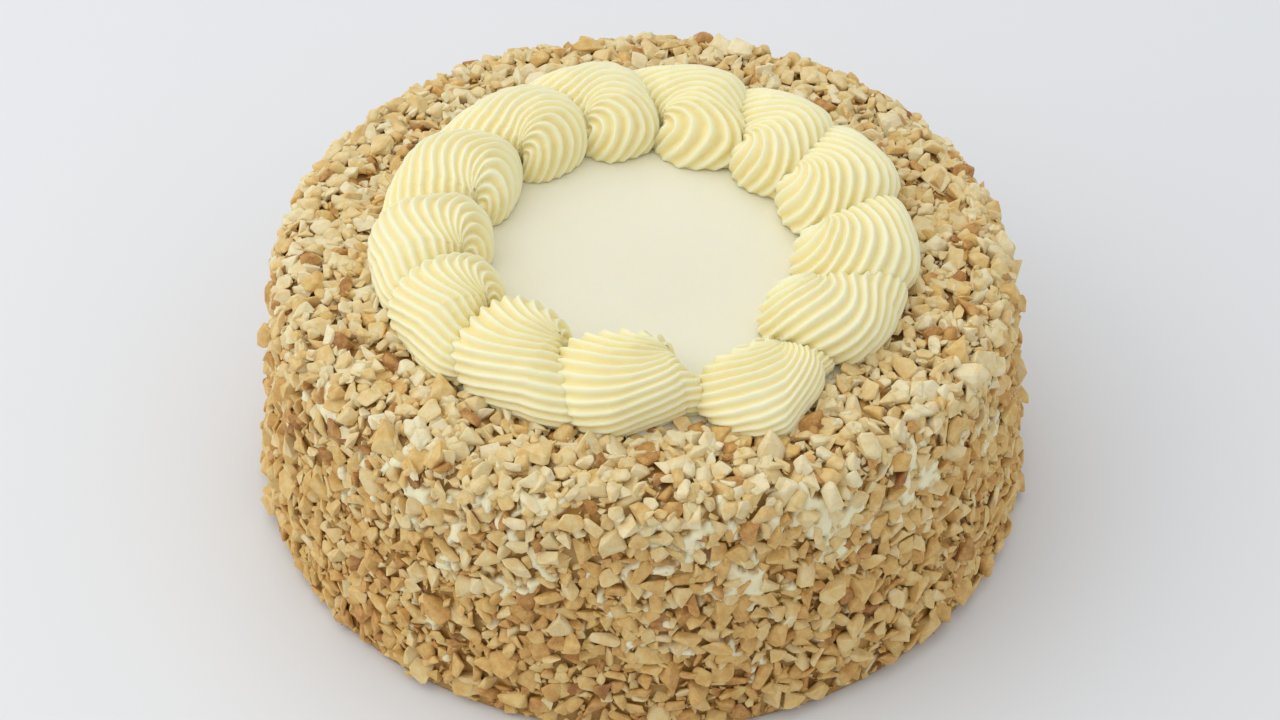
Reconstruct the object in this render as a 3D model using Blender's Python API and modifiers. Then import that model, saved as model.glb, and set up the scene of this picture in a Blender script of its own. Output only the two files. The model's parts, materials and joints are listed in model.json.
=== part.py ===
"""Sans rival: a round layer cake in buttercream, its side and top edge coated with chopped cashews.

Frame: metres, +Z up. The origin is the middle of the flat bottom, and the front is -Y.
Nodes: cake (the uncut body with its nut coat), cream_top (the smooth disc of buttercream)
and swirl_01 to swirl_13 (the piped border, numbered clockwise from the back).
"""

import math
import random

import bmesh
import bpy
import numpy as np
from mathutils import Euler, Matrix, Vector

MM = 0.001
GAP = 0.3 * MM

# Body of the cake: the coat's outline, from the level of the cream down to the foot
CREAM_LEVEL = 75.0 * MM
NUT_TOP = 76.8 * MM
NUT_SLOPE = 3.0 * MM
RIM_ROUND = 9.0 * MM
SHOULDER_RADIUS = 100.6 * MM
SIDE_RADII = ((102.2 * MM, 52.0 * MM), (104.0 * MM, 28.0 * MM), (106.0 * MM, 10.0 * MM), (107.0 * MM, 4.0 * MM))
FOOT_RADIUS = 104.5 * MM
PROFILE_STEP = 7.0 * MM
TURN_STEPS = 84

# Smooth disc of buttercream, set into the top
DISC_RADIUS = 72.4 * MM
DISC_THICKNESS = 3.0 * MM
DISC_EDGE_ROUND = 0.8 * MM
DISC_STEPS = 48

# Chopped cashews
BUMP_OUT = 0.9 * MM
BUMP_ALONG = 1.7 * MM
CHIP_COUNT = 104
CHIP_LENGTH = (3.2 * MM, 4.6 * MM)
CHIP_WIDTH = (0.62, 0.85)
CHIP_THICKNESS = (0.42, 0.6)
CHIP_TAPER = (0.55, 0.9)
CHIP_TILT = math.radians(24.0)
CHIP_RAGGED = 0.2
CHIP_FLOOR = 0.4 * MM
GOLDEN_ANGLE = math.pi * (3.0 - math.sqrt(5.0))
SEED = 20

# Piped border: where each swirl turns, in degrees round the ring, clockwise from the back
TURN_ANGLES = (108.6, 84.2, 56.5, 31.8, 4.3, -24.8, -50.9, -88.5, -117.5, -147.4, -172.1, -199.3, -230.0)
RING_CENTRE = (0.0, -1.8 * MM)
TURN_RADIUS = 51.5 * MM
MEAN_PITCH = 360.0 / len(TURN_ANGLES)

# One swirl about its turn: angles from the clockwise direction, lengths from the turn's axis
TURN_START = math.radians(13.0)
TURN_END = math.radians(172.0)
ROUTE_REACH = (10.6 * MM, 10.2 * MM, 10.4 * MM, 10.0 * MM, 8.4 * MM)
ROPE_RADII = (10.3 * MM, 10.1 * MM, 9.9 * MM, 8.3 * MM, 5.8 * MM)
ROPE_SINK = (5.0 * MM, 5.0 * MM, 5.1 * MM, 5.2 * MM, 5.0 * MM)
HEAD_LENGTH = 10.2 * MM
BEND_RADIUS = 10.6 * MM
FIRST_BEND = math.radians(12.0)
BEND_RINGS = 3
ROUTE_RINGS = 6
TEETH = 15
TURN_CLEAR = 0.6 * MM
RIDGE_OUT = 0.55 * MM
GROOVE_IN = 0.95 * MM
STRETCH_POWER = 0.8
SIZE_SPREAD = 0.035
SIZE_RHYTHM = 2.4

CREAM_COLOUR = (0.86, 0.78, 0.49, 1.0)
DISC_COLOUR = (0.84, 0.79, 0.60, 1.0)
NUT_COLOUR = (0.64, 0.42, 0.19, 1.0)


def clear_scene():
    for old in list(bpy.data.objects):
        bpy.data.objects.remove(old, do_unlink=True)


def new_collection(name):
    collection = bpy.data.collections.new(name)
    bpy.context.scene.collection.children.link(collection)
    return collection


def make_material(name, colour, roughness):
    material = bpy.data.materials.new(name)
    material.use_nodes = True
    shader = material.node_tree.nodes["Principled BSDF"]
    shader.inputs["Base Color"].default_value = colour
    shader.inputs["Roughness"].default_value = roughness
    shader.inputs["Metallic"].default_value = 0.0
    return material


def object_from_bmesh(name, shape, collection):
    mesh = bpy.data.meshes.new(name)
    shape.to_mesh(mesh)
    shape.free()
    made = bpy.data.objects.new(name, mesh)
    collection.objects.link(made)
    return made


def applied(made):
    """The object with its modifiers turned into plain mesh."""
    bpy.context.view_layer.update()
    graph = bpy.context.evaluated_depsgraph_get()
    mesh = bpy.data.meshes.new_from_object(made.evaluated_get(graph))
    made.modifiers.clear()
    made.data = mesh
    return made


def turned(name, profile, steps, collection):
    """A solid of revolution from an outline that runs from the axis at the top to the axis below."""
    shape = bmesh.new()
    points = [shape.verts.new((r, 0.0, z)) for r, z in profile]
    for first, second in zip(points, points[1:]):
        shape.edges.new((first, second))
    made = object_from_bmesh(name, shape, collection)
    screw = made.modifiers.new("turn", "SCREW")
    screw.steps = steps
    screw.render_steps = steps
    screw.use_merge_vertices = True
    screw.merge_threshold = 0.00001
    return applied(made)


def evenly_spaced(corners, step):
    """Points along a polyline, about one step apart, with every corner kept."""
    points = [corners[0]]
    for start, end in zip(corners, corners[1:]):
        count = max(1, round(math.dist(start, end) / step))
        for k in range(1, count + 1):
            points.append(tuple(a + (b - a) * k / count for a, b in zip(start, end)))
    return points


def coat_outline():
    """The nut-covered outline, from the inner edge of the top ring to the foot."""
    inner = DISC_RADIUS + GAP
    rim = SHOULDER_RADIUS - RIM_ROUND
    arc = []
    for k in range(3):
        angle = math.pi / 2 * (1 - k / 2)
        arc.append((rim + RIM_ROUND * math.cos(angle), NUT_TOP - RIM_ROUND + RIM_ROUND * math.sin(angle)))
    slope = [(inner, CREAM_LEVEL), (inner + NUT_SLOPE, NUT_TOP)]
    return evenly_spaced([*slope, *arc, *SIDE_RADII, (FOOT_RADIUS, 0.0)], PROFILE_STEP)


def build_body(collection, draw):
    """The uncut body, with bumps of the nuts' size all over its coat."""
    recess = CREAM_LEVEL - DISC_THICKNESS - GAP
    inside = DISC_RADIUS + GAP
    profile = [(0.0, recess), (inside, recess), *coat_outline(), (0.0, 0.0)]
    body = turned("cake", profile, TURN_STEPS, collection)
    normals = [Vector(vertex.normal) for vertex in body.data.vertices]
    for vertex, out in zip(body.data.vertices, normals):
        place = vertex.co
        radius = math.hypot(place.x, place.y)
        if radius < inside + NUT_SLOPE * 0.5 or place.z < CHIP_FLOOR:
            continue
        shift = Vector([draw.uniform(-BUMP_ALONG, BUMP_ALONG) for _ in range(3)])
        shift -= out * shift.dot(out)
        if radius < inside + NUT_SLOPE * 1.5 or place.z < SIDE_RADII[-1][1] * 1.5:
            shift *= 0.3
        vertex.co = place + shift + out * draw.uniform(-BUMP_OUT, BUMP_OUT)
    return body


def outline_places(count):
    """Places spread evenly over the coat: radius, height and the outward direction there."""
    coat = coat_outline()[1:-1]
    lengths = [0.0]
    for a, b in zip(coat, coat[1:]):
        lengths.append(lengths[-1] + math.dist(a, b) * (a[0] + b[0]) / 2)
    for k in range(count):
        area = (k + 0.5) / count * lengths[-1]
        part = max(i for i, length in enumerate(lengths[:-1]) if length <= area)
        share = (area - lengths[part]) / (lengths[part + 1] - lengths[part])
        a, b = coat[part], coat[part + 1]
        r = a[0] + (b[0] - a[0]) * share
        z = a[1] + (b[1] - a[1]) * share
        along = Vector((b[0] - a[0], b[1] - a[1])).normalized()
        yield r, z, (-along.y, along.x), k * GOLDEN_ANGLE


def add_chip(place, out, draw, collection):
    """One chopped cashew: a ragged convex chip lying on the coat."""
    length = draw.uniform(*CHIP_LENGTH)
    size = Vector((length, length * draw.uniform(*CHIP_WIDTH), length * draw.uniform(*CHIP_THICKNESS)))
    taper = draw.uniform(*CHIP_TAPER)
    shape = bmesh.new()
    bmesh.ops.create_cube(shape, size=2.0)
    for vertex in shape.verts:
        narrow = taper if vertex.co.z > 0 else 1.0
        ragged = [1.0 + draw.uniform(-CHIP_RAGGED, CHIP_RAGGED) for _ in range(3)]
        vertex.co = Vector([a * b * c for a, b, c in zip(vertex.co, size, ragged)])
        vertex.co.xy *= narrow
    bmesh.ops.triangulate(shape, faces=shape.faces)
    lean = Euler([draw.uniform(-CHIP_TILT, CHIP_TILT), draw.uniform(-CHIP_TILT, CHIP_TILT), draw.uniform(0, math.tau)])
    turn = out.to_track_quat("Z", "Y").to_matrix() @ lean.to_matrix()
    bmesh.ops.transform(shape, matrix=Matrix.Translation(place) @ turn.to_4x4(), verts=shape.verts)
    lowest = min(vertex.co.z for vertex in shape.verts)
    if lowest < CHIP_FLOOR:
        bmesh.ops.translate(shape, vec=(0.0, 0.0, CHIP_FLOOR - lowest), verts=shape.verts)
    return object_from_bmesh("chip", shape, collection)


def fuse_chips(body, chips, draw):
    """The largest nuts, joined to the body in one union."""
    for r, z, (out_r, out_z), angle in outline_places(CHIP_COUNT):
        across = Vector((math.cos(angle), math.sin(angle), 0.0))
        out = (across * out_r + Vector((0.0, 0.0, out_z))).normalized()
        place = across * r + Vector((0.0, 0.0, z)) + out * draw.uniform(0.0, 0.9) * MM
        chip = add_chip(place, out, draw, chips)
        chip.display_type = "WIRE"
        chip.hide_render = True
    union = body.modifiers.new("nuts", "BOOLEAN")
    union.operation = "UNION"
    union.operand_type = "COLLECTION"
    union.collection = chips
    union.solver = "EXACT"
    applied(body)
    for chip in list(chips.objects):
        bpy.data.objects.remove(chip, do_unlink=True)


def build_disc(collection):
    """The smooth disc, with a softly rounded top edge."""
    bottom = CREAM_LEVEL - DISC_THICKNESS
    edge = DISC_RADIUS - DISC_EDGE_ROUND
    profile = [(0.0, CREAM_LEVEL), (edge * 0.5, CREAM_LEVEL), (edge, CREAM_LEVEL)]
    profile += [(DISC_RADIUS, CREAM_LEVEL - DISC_EDGE_ROUND), (DISC_RADIUS, bottom), (0.0, bottom)]
    return turned("cream_top", profile, DISC_STEPS, collection)


def smooth_through(points, share):
    """A point of the smooth curve through the given ones, by Catmull-Rom, for a share from 0 to 1."""
    place = share * (len(points) - 1)
    k = min(int(place), len(points) - 2)
    t = place - k
    before = points[max(k - 1, 0)]
    a, b = points[k], points[k + 1]
    after = points[min(k + 2, len(points) - 1)]
    return 0.5 * (2 * a + (b - before) * t + (2 * before - 5 * a + 4 * b - after) * t**2
                  + (3 * a - before - 3 * b + after) * t**3)


def kept_short_of(reach, room):
    """A length that follows reach while it is small and levels off before room."""
    return (abs(reach) ** -4 + room**-4) ** -0.25 if reach else 0.0


def star_ring(centre, side, up, radius, scale):
    """One section of the rope as the toothed nozzle leaves it, kept clear of the turn at the origin."""
    room = max(float(centre @ side), TURN_CLEAR * 2) - TURN_CLEAR
    ring = []
    for k in range(2 * TEETH):
        angle = math.tau * (k + 0.5) / (2 * TEETH)
        reach = radius + (RIDGE_OUT if k % 2 == 0 else -GROOVE_IN) * scale
        across = reach * math.cos(angle)
        if across < 0.0:
            across = -kept_short_of(across, room)
        ring.append(centre + across * side + reach * math.sin(angle) * up)
    return ring


def swirl_rings(swell):
    """The sections of one swirl about its turn, from the head that rises off the cake to the tail."""
    up = np.array([0.0, 0.0, 1.0])
    side = np.array([math.cos(TURN_START), math.sin(TURN_START), 0.0])
    ahead = np.cross(up, side)
    start = side * ROUTE_REACH[0]
    hinge = start + up * (ROPE_RADII[0] - ROPE_SINK[0] - BEND_RADIUS)
    rings = []
    for k in range(BEND_RINGS):
        bend = FIRST_BEND + (math.pi / 2 - FIRST_BEND) * k / BEND_RINGS
        outward = math.sin(bend) * up - math.cos(bend) * ahead * HEAD_LENGTH / BEND_RADIUS
        rings.append(star_ring(hinge + BEND_RADIUS * outward, side, outward, ROPE_RADII[0] + swell, 1.0))
    for k in range(ROUTE_RINGS + 1):
        share = k / ROUTE_RINGS
        turn = TURN_START + (TURN_END - TURN_START) * share
        side = np.array([math.cos(turn), math.sin(turn), 0.0])
        radius = smooth_through(ROPE_RADII, share)
        centre = side * smooth_through(ROUTE_REACH, share) + up * (radius - smooth_through(ROPE_SINK, share))
        rings.append(star_ring(centre, side, up, radius + swell, radius / ROPE_RADII[0]))
    return rings


def loft(rings):
    """A closed skin over the rings in turn."""
    shape = bmesh.new()
    rows = [[shape.verts.new(point) for point in ring] for ring in rings]
    around = len(rows[0])
    for lower, upper in zip(rows, rows[1:]):
        for k in range(around):
            following = (k + 1) % around
            shape.faces.new((lower[k], lower[following], upper[following], upper[k]))
    shape.faces.new(rows[0][::-1])
    shape.faces.new(rows[-1])
    return shape


def cut_flat(shape, level):
    """Removes what lies below the level and closes the cut."""
    everything = list(shape.verts) + list(shape.edges) + list(shape.faces)
    cut = bmesh.ops.bisect_plane(
        shape, geom=everything, plane_co=(0, 0, level), plane_no=(0, 0, 1), clear_inner=True
    )
    edges = [piece for piece in cut["geom_cut"] if isinstance(piece, bmesh.types.BMEdge)]
    bmesh.ops.holes_fill(shape, edges=edges, sides=0)
    bmesh.ops.triangulate(shape, faces=[face for face in shape.faces if len(face.verts) > 4])
    bmesh.ops.recalc_face_normals(shape, faces=shape.faces)


def build_swirl(name, number, collection, swell=0.0, floor=0.0):
    """One piped swirl at its place on the ring, stretched to the room before the next one."""
    angle = TURN_ANGLES[number]
    pitch = (angle - TURN_ANGLES[(number + 1) % len(TURN_ANGLES)]) % 360.0
    shape = loft(swirl_rings(swell))
    cut_flat(shape, floor)
    grow = 1.0 + SIZE_SPREAD * math.sin(SIZE_RHYTHM * number)
    stretch = (pitch / MEAN_PITCH) ** STRETCH_POWER
    bmesh.ops.scale(shape, vec=(stretch * grow, grow, grow), verts=shape.verts)
    turn = Matrix.Rotation(math.radians(angle - 90.0), 4, "Z")
    place = Matrix.Translation((*RING_CENTRE, CREAM_LEVEL + GAP))
    outwards = Matrix.Translation((0.0, TURN_RADIUS, 0.0))
    bmesh.ops.transform(shape, matrix=place @ turn @ outwards, verts=shape.verts)
    return object_from_bmesh(name, shape, collection)


def build_border(cake, cutters, finish):
    """The ring of swirls, each tail cut back to lie against the swirl before it."""
    for number in range(len(TURN_ANGLES)):
        swirl = build_swirl(f"swirl_{number + 1:02d}", number, cake)
        swirl.data.materials.append(finish)
        before = (number - 1) % len(TURN_ANGLES)
        cutter = build_swirl(f"room_for_swirl_{before + 1:02d}", before, cutters, GAP * 1.2, -2.0 * MM)
        cutter.display_type = "WIRE"
        cutter.hide_render = True
        cut = swirl.modifiers.new("against_neighbour", "BOOLEAN")
        cut.operation = "DIFFERENCE"
        cut.object = cutter
        cut.solver = "EXACT"


def main():
    clear_scene()
    cake = new_collection("sans_rival")
    chips = new_collection("nuts_to_fuse")
    cutters = new_collection("cutters")
    draw = random.Random(SEED)
    nut_finish = make_material("toasted_cashew", NUT_COLOUR, 0.7)
    disc_finish = make_material("smooth_buttercream", DISC_COLOUR, 0.5)
    cream_finish = make_material("piped_buttercream", CREAM_COLOUR, 0.45)
    body = build_body(cake, draw)
    fuse_chips(body, chips, draw)
    body.data.materials.append(nut_finish)
    disc = build_disc(cake)
    disc.data.materials.append(disc_finish)
    build_border(cake, cutters, cream_finish)


main()
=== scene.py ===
"""Photo-like model of a sans rival cake: chopped nuts on buttercream, a smooth disc and piped swirls."""

import json
import logging
import math
from dataclasses import dataclass, field
from enum import Enum
from itertools import product

import bmesh
import bpy
import numpy as np
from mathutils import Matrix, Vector, noise

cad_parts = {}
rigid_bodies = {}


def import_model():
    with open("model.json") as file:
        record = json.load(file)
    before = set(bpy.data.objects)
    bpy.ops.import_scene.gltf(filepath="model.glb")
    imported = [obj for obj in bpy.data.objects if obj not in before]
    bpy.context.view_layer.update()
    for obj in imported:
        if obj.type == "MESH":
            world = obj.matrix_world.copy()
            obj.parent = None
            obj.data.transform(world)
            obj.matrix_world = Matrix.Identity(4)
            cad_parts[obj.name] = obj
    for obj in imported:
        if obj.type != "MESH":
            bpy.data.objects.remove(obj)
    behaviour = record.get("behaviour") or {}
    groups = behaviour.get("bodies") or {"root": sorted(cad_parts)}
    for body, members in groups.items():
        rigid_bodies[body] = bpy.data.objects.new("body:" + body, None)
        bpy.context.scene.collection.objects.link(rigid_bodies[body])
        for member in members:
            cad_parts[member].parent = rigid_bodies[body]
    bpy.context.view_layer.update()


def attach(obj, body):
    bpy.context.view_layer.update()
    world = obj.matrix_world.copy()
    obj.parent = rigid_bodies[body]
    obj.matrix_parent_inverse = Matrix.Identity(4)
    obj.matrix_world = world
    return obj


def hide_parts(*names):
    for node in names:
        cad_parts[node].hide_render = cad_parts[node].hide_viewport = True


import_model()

LOG = logging.getLogger("cake")
MM = 0.001

Socket = bpy.types.NodeSocket
Colour = tuple[float, float, float, float]
Value = Socket | float | Colour
Inputs = dict[str | int, Value]
Material = bpy.types.Material
Node = bpy.types.Node
Object = bpy.types.Object
Tree = bpy.types.NodeTree
Arc = tuple[float, ...]
Table = tuple[tuple[float, float], ...]

# Height of the cream on top, and centre of the ring of swirls, in millimetres.
CREAM_LEVEL = 75.0
RING_CENTRE = (0.0, -1.8)

# Direction of each swirl from the ring's centre, in degrees; they follow each other clockwise.
TURN_ANGLES = (108.6, 84.2, 56.5, 31.8, 4.3, -24.8, -50.9, -88.5, -117.5, -147.4, -172.1, -199.3, -230.0)

# Where the piping hand made a swirl differ, by its number; the names are fields of PipedSwirl.
HAND_WORK = {
    1: {"turn": (-0.8, 49.2), "hook": 1.25},
    2: {"turn": (0.4, 48.3), "hook": 1.4},
    3: {"turn": (1.4, 47.6), "hook": 1.25},
    4: {"turn": (0.6, 49.2), "hook": 1.22},
    5: {"turn": (1.6, 48.6), "hook": 1.22},
    6: {"turn": (0.2, 49.0), "hook": 1.15},
    7: {
        "turn": (-1.0, 55.0), "stretch": 1.42, "tail": 0.58, "rise": 0.66, "head": 0.93, "waist": 0.5,
        "skew": 0.85, "gather": 0.6, "start_arc": (-160.0, 74.0),
    },
    8: {
        "turn": (-6.0, 49.2), "stretch": 1.32, "tail": 0.66, "skew": 0.92, "droop": 0.94, "gather": 0.6,
        "start_arc": (-160.0, 74.0),
    },
    9: {"turn": (-2.2, 48.6), "gather": 0.5, "skew": 0.85},
    10: {"turn": (-2.8, 49.8)},
    11: {"turn": (-2.8, 48.9)},
    12: {"turn": (-2.8, 47.7)},
    13: {"turn": (-4.4, 47.7), "stretch": 1.0},
}


class Slot(Enum):
    """Material slots of the record."""

    COAT = "nut_coat"
    DISC = "smooth_cream"
    PIPED = "piped_cream"


class NutKind(Enum):
    """Kinds of chopped nut, one piece each."""

    CHIP_TOP = "nut_chips_top"
    CHIP_SIDE = "nut_chips_side"
    CHIP_FOOT = "nut_chips_foot"
    BIT = "nut_bits"
    CRUMB = "nut_crumbs"


# Node trees and finishes


class Sketch:
    """Short way to write a node tree."""

    def __init__(self, tree: Tree) -> None:
        """Keeps the tree that the nodes go to."""
        self.tree = tree

    def link(self, source: Socket, target: Socket) -> None:
        """Links an output to an input."""
        self.tree.links.new(source, target)

    def add(self, kind: str, inputs: Inputs | None = None, **settings: object) -> Node:
        """Adds a node.

        Args:
            kind: The node's type name.
            inputs: Socket name or number to a value or another node's output.
            settings: Properties of the node.

        Returns:
            The node.
        """
        node = self.tree.nodes.new(kind)
        for name, value in settings.items():
            setattr(node, name, value)
        for name, value in (inputs or {}).items():
            if isinstance(value, Socket):
                self.link(value, node.inputs[name])
            else:
                node.inputs[name].default_value = value
        return node

    def noise(self, where: Socket, scale: float, detail: float = 3.0, rough: float = 0.55) -> Socket:
        """Adds noise around 0.5 at a place; the scale is the number of its features in a metre."""
        inputs = {"Vector": where, "Scale": scale, "Detail": detail, "Roughness": rough}
        return self.add("ShaderNodeTexNoise", inputs).outputs["Fac"]

    def span(self, value: Socket, low: float, high: float, to: tuple[float, float] = (0.0, 1.0)) -> Socket:
        """Maps the range from low to high to another one, smoothly and clamped."""
        inputs = {"Value": value, "From Min": low, "From Max": high, "To Min": to[0], "To Max": to[1]}
        return self.add("ShaderNodeMapRange", inputs, interpolation_type="SMOOTHSTEP").outputs["Result"]

    def mix(self, share: Value, first: Value, second: Value) -> Socket:
        """Mixes two colours by the share of the second."""
        return self.add("ShaderNodeMix", {0: share, 6: first, 7: second}, data_type="RGBA").outputs[2]

    def maths(self, operation: str, first: Value, second: Value) -> Socket:
        """Does one step of arithmetic on two numbers."""
        return self.add("ShaderNodeMath", {0: first, 1: second}, operation=operation).outputs[0]


def rgb(red: float, green: float, blue: float) -> Colour:
    """A linear colour with full alpha."""
    return (red, green, blue, 1.0)


def new_group(name: str, inputs: dict[str, str]) -> tuple[Sketch, dict[str, Socket], Node]:
    """Makes a shader node group that puts out a colour, a roughness and a height.

    Args:
        name: Name of the group.
        inputs: Input names with their socket types.

    Returns:
        A sketch of its tree, the input sockets by name and the output node.
    """
    outputs = {"Base Color": "NodeSocketColor", "Roughness": "NodeSocketFloat", "Height": "NodeSocketFloat"}
    tree = bpy.data.node_groups.new(name, "ShaderNodeTree")
    for label, kind in inputs.items():
        tree.interface.new_socket(label, in_out="INPUT", socket_type=kind)
    for label, kind in outputs.items():
        tree.interface.new_socket(label, in_out="OUTPUT", socket_type=kind)
    start = tree.nodes.new("NodeGroupInput")
    end = tree.nodes.new("NodeGroupOutput")
    return Sketch(tree), {label: start.outputs[label] for label in inputs}, end


def cream_group() -> Tree:
    """Builds the group for all buttercream: two colours by a shade value, mottled, with fine relief.

    Returns:
        The group.
    """
    inputs = {
        "Place": "NodeSocketVector",
        "Shade": "NodeSocketFloat",
        "Light Colour": "NodeSocketColor",
        "Deep Colour": "NodeSocketColor",
        "Grain": "NodeSocketFloat",
    }
    sketch, inner, end = new_group("buttercream", inputs)
    cloud = sketch.noise(inner["Place"], 45.0)
    fine = sketch.noise(inner["Place"], 900.0, 2.0)
    pores = sketch.noise(inner["Place"], 2600.0, 1.0)
    shade = sketch.maths("ADD", inner["Shade"], sketch.span(cloud, 0.3, 0.7, (-0.12, 0.12)))
    colour = sketch.mix(sketch.span(shade, 0.0, 1.0), inner["Light Colour"], inner["Deep Colour"])
    colour = sketch.mix(sketch.span(fine, 0.35, 0.65, (0.0, 0.05)), colour, rgb(0.95, 0.93, 0.82))
    height = sketch.maths("ADD", sketch.maths("MULTIPLY", fine, 0.7), sketch.maths("MULTIPLY", pores, 0.3))
    height = sketch.maths("MULTIPLY", height, inner["Grain"])
    sketch.link(colour, end.inputs["Base Color"])
    sketch.link(sketch.span(cloud, 0.3, 0.7, (0.42, 0.56)), end.inputs["Roughness"])
    sketch.link(height, end.inputs["Height"])
    return sketch.tree


def nut_group() -> Tree:
    """Builds the group for the nuts: a tone from white through golden to brown, mottled, with grainy relief.

    Returns:
        The group.
    """
    sketch, inner, end = new_group("chopped_nut", {"Place": "NodeSocketVector", "Tone": "NodeSocketFloat"})
    blotch = sketch.noise(inner["Place"], 380.0, 3.0)
    grain = sketch.noise(inner["Place"], 1500.0, 3.0, 0.65)
    tone = sketch.maths("ADD", inner["Tone"], sketch.span(blotch, 0.3, 0.7, (-0.11, 0.11)))
    tone = sketch.maths("ADD", tone, sketch.span(grain, 0.3, 0.7, (-0.05, 0.05)))
    ramp = sketch.add("ShaderNodeValToRGB", {"Fac": tone})
    stops = (
        (0.0, rgb(0.86, 0.765, 0.51)),
        (0.25, rgb(0.80, 0.635, 0.33)),
        (0.5, rgb(0.74, 0.50, 0.18)),
        (0.75, rgb(0.60, 0.33, 0.10)),
        (1.0, rgb(0.34, 0.15, 0.045)),
    )
    steps = ramp.color_ramp.elements
    while len(steps) < len(stops):
        steps.new(0.5)
    for step, (place, colour) in zip(steps, stops):
        step.position = place
        step.color = colour
    height = sketch.maths("ADD", sketch.maths("MULTIPLY", blotch, 0.6), sketch.maths("MULTIPLY", grain, 0.4))
    sketch.link(ramp.outputs["Color"], end.inputs["Base Color"])
    sketch.link(sketch.span(blotch, 0.3, 0.7, (0.55, 0.75)), end.inputs["Roughness"])
    sketch.link(height, end.inputs["Height"])
    return sketch.tree


@dataclass(frozen=True)
class Feel:
    """How a food takes light, besides its colours.

    Attributes:
        relief: Depth of its fine bumps, in metres.
        relief_strength: How much of them shows.
        soft: Share of light that spreads inside it.
        soft_colours: How far red, green and blue spread.
        soft_depth: Depth to which they spread, in metres.
        gloss: Strength of its highlights.
        bending: Its index of refraction.
    """

    relief: float
    relief_strength: float
    soft: float
    soft_colours: tuple[float, float, float]
    soft_depth: float
    gloss: float
    bending: float

    def material(self, name: str, group: Tree, attribute: str, values: Inputs) -> Material:
        """Builds a material around a food's node group.

        Args:
            name: Name of the material.
            group: The node group.
            attribute: Attribute of the mesh that the group reads.
            values: Values of the group's other inputs.

        Returns:
            The material.
        """
        material = bpy.data.materials.new(name)
        material.use_nodes = True
        sketch = Sketch(material.node_tree)
        shader = material.node_tree.nodes["Principled BSDF"]
        place = sketch.add("ShaderNodeTexCoord").outputs["Object"]
        read = sketch.add("ShaderNodeAttribute", attribute_name=attribute).outputs["Fac"]
        body = sketch.add("ShaderNodeGroup", None, node_tree=group)
        sketch.link(place, body.inputs["Place"])
        sketch.link(read, body.inputs[attribute.capitalize()])
        for label, value in values.items():
            body.inputs[label].default_value = value
        relief = {"Height": body.outputs["Height"], "Distance": self.relief, "Strength": self.relief_strength}
        bump = sketch.add("ShaderNodeBump", relief)
        sketch.link(body.outputs["Base Color"], shader.inputs["Base Color"])
        sketch.link(body.outputs["Roughness"], shader.inputs["Roughness"])
        sketch.link(bump.outputs["Normal"], shader.inputs["Normal"])
        uniform = {
            "Subsurface Weight": self.soft,
            "Subsurface Radius": self.soft_colours,
            "Subsurface Scale": self.soft_depth,
            "IOR": self.bending,
            "Specular IOR Level": self.gloss,
        }
        for label, value in uniform.items():
            shader.inputs[label].default_value = value
        return material


@dataclass(frozen=True)
class CreamFinish:
    """Finish of buttercream; the mesh's shade attribute goes from the light to the deep colour."""

    name: str
    light: Colour
    deep: Colour
    grain: float = 1.0
    feel: Feel = Feel(0.00012, 0.6, 0.35, (1.0, 0.75, 0.35), 0.0022, 0.4, 1.45)

    def material(self, group: Tree) -> Material:
        """Builds the material from the buttercream group."""
        values = {"Light Colour": self.light, "Deep Colour": self.deep, "Grain": self.grain}
        return self.feel.material(self.name, group, "shade", values)


@dataclass(frozen=True)
class NutFinish:
    """Finish of the nuts; the mesh's tone attribute goes from white to brown."""

    name: str = "chopped_nuts"
    feel: Feel = Feel(0.00022, 0.8, 0.15, (1.0, 0.6, 0.25), 0.0015, 0.35, 1.5)

    def material(self, group: Tree) -> Material:
        """Builds the material from the chopped nut group."""
        return self.feel.material(self.name, group, "tone", {})


# Piped cream: the light colour is the cream's own; the deep colour is painted shade in the grooves.
PIPED_CREAM = CreamFinish("piped_buttercream", rgb(0.93, 0.885, 0.60), rgb(0.93, 0.80, 0.38))
SMOOTH_CREAM = CreamFinish("smooth_buttercream", rgb(0.86, 0.83, 0.67), rgb(0.84, 0.80, 0.63), 0.5)
# Coat cream: the light colour is the cream smear; the deep colour is nut crumbs with painted shadow between
# the nuts.
COAT_CREAM = CreamFinish("coat_buttercream", rgb(0.93, 0.85, 0.56), rgb(0.43, 0.235, 0.05), 1.6)


# Meshes


def grid_faces(rows: int, columns: int, closed: bool = False) -> list[tuple[int, ...]]:
    """Quads of a grid of points stored row by row.

    Args:
        rows: Number of rows.
        columns: Number of points in a row.
        closed: Whether each row joins its own start.

    Returns:
        The quads.
    """
    last = columns if closed else columns - 1
    faces = []
    for row in range(rows - 1):
        for column in range(last):
            here = row * columns + column
            right = row * columns + (column + 1) % columns
            faces.append((here, right, right + columns, here + columns))
    return faces


def set_floats(mesh: bpy.types.Mesh, name: str, values: np.ndarray | list[float]) -> None:
    """Gives a mesh an attribute with one number for each point."""
    mesh.attributes.new(name, "FLOAT", "POINT").data.foreach_set("value", np.asarray(values, np.float32))


def add_object(name: str, mesh: bpy.types.Mesh) -> Object:
    """Makes an object of a mesh, linked to the scene.

    Args:
        name: Name of the object.
        mesh: Its mesh.

    Returns:
        The object.
    """
    item = bpy.data.objects.new(name, mesh)
    bpy.context.scene.collection.objects.link(item)
    return item


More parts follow.
